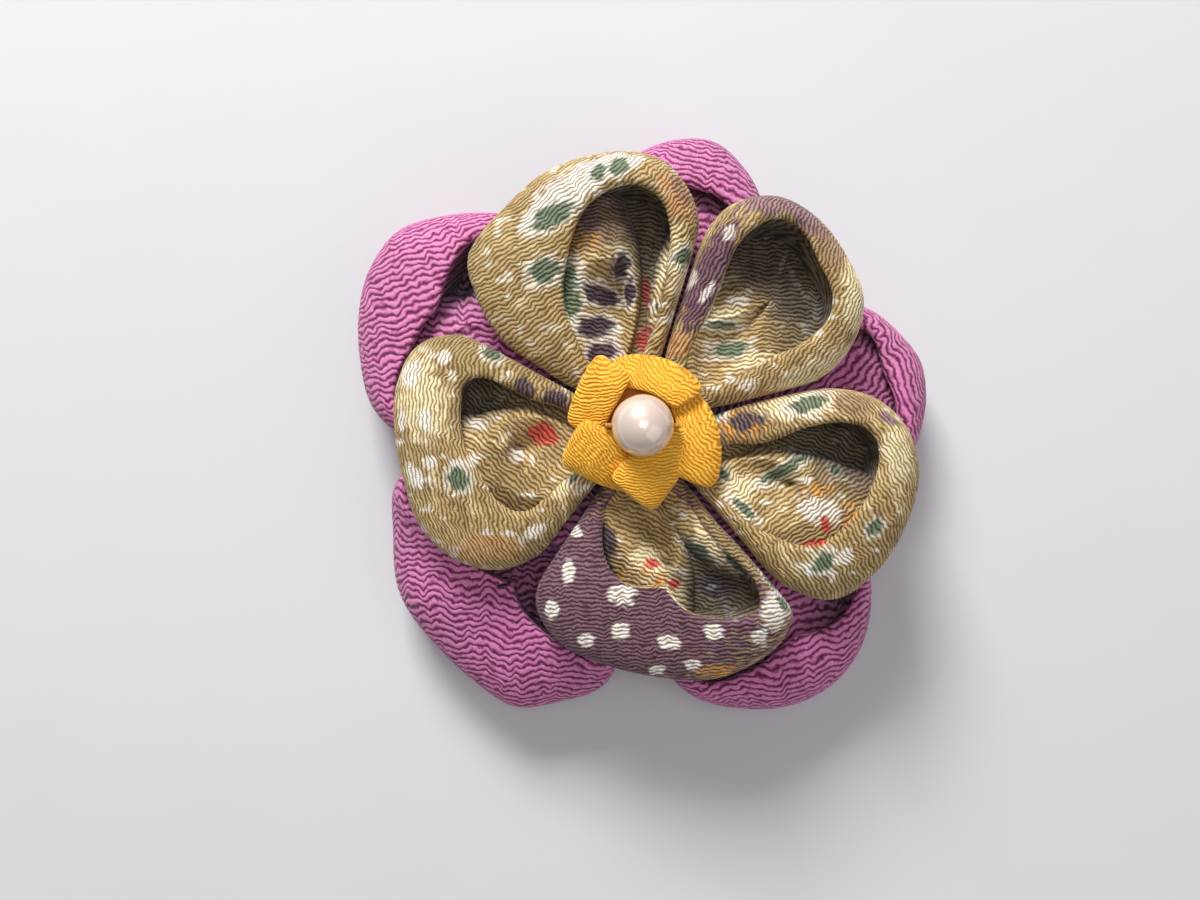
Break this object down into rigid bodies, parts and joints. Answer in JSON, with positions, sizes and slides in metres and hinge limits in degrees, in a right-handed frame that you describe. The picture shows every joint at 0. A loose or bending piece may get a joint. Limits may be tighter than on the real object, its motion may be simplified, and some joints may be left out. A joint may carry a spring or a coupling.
{
  "type": "flower hair clip",
  "caption": "Hair clip: folded crepe fabric petals round a folded ring and a bead, on a sprung steel beak clip.",
  "frame": {"origin": "middle of the flower's footprint on the surface that it lies on, under the bead", "axes": "+Z out of the flower's face, +X along the clip from its nose to its press tail"},
  "size_m": [0.0719, 0.0723, 0.0264],
  "materials": {
    "purple_crepe": "crepe weave with twisted ridges",
    "print_crepe": "crepe weave, printed with leaves and blossoms",
    "yellow_crepe": "crepe weave, plain dyed",
    "pearl": "pearl lustre",
    "thread": "twisted thread",
    "felt": "matted felt",
    "card": "uncoated card",
    "steel": "nickel plated spring steel"
  },
  "bodies": {
    "flower": {"outer_petal_1": "purple_crepe", "outer_petal_2": "purple_crepe", "outer_petal_3": "purple_crepe", "outer_petal_4": "purple_crepe", "outer_petal_5": "purple_crepe", "inner_petal_1": "print_crepe", "inner_petal_2": "print_crepe", "inner_petal_3": "print_crepe", "inner_petal_4": "print_crepe", "inner_petal_5": "print_crepe", "centre_fold_1": "yellow_crepe", "centre_fold_2": "yellow_crepe", "centre_fold_3": "yellow_crepe", "centre_fold_4": "yellow_crepe", "centre_fold_5": "yellow_crepe", "centre_pad": "felt", "pearl_bead": "pearl", "bead_thread": "thread", "outer_tie_thread": "thread", "inner_tie_thread": "thread", "base_card": "card", "backing_felt": "felt", "clip_strap": "felt", "clip_fixed_jaw": "steel", "clip_hinge_pin": "steel", "clip_spring": "steel"},
    "lever": {"clip_lever_jaw": "steel"}
  },
  "joints": [
    {"name": "lever_hinge", "type": "hinge", "parent": "flower", "child": "lever", "pos_m": [0.015, 0, 0.0052], "axis": [0, -1, 0], "range_deg": [0, 20], "stiffness_Nm_per_rad": 0.15, "springref_deg": -28.65, "deforming": ["clip_spring"]}
  ]
}
